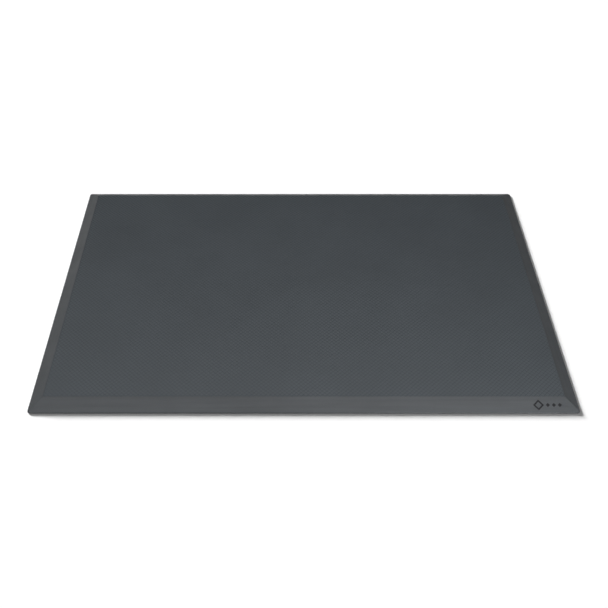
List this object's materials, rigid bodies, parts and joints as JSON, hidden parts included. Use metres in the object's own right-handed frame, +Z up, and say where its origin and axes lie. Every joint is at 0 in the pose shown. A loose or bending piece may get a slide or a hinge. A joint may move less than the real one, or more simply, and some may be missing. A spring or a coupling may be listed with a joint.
{
  "type": "anti-fatigue mat",
  "caption": "Rectangular cushioned standing mat with bevelled edges, a foam core and a diamond-embossed top.",
  "frame": {"origin": "centre of the underside, on the floor", "axes": "+X along the long side, +Y across the mat away from the emblem's edge, +Z up"},
  "size_m": [0.914, 0.61, 0.016],
  "materials": {
    "wear_rubber": "matte",
    "ramp_rubber": "satin",
    "grip_rubber": "matte",
    "foam": "matte",
    "adhesive": "satin",
    "emblem": "satin"
  },
  "bodies": {
    "root": {"wear_sheet": "wear_rubber", "adhesive_film_upper": "adhesive", "foam_core": "foam", "adhesive_film_lower": "adhesive", "grip_sheet": "grip_rubber", "edge_ramp_front": "ramp_rubber", "edge_ramp_rear": "ramp_rubber", "edge_ramp_left": "ramp_rubber", "edge_ramp_right": "ramp_rubber", "emblem_inlay": "emblem"}
  },
  "joints": []
}
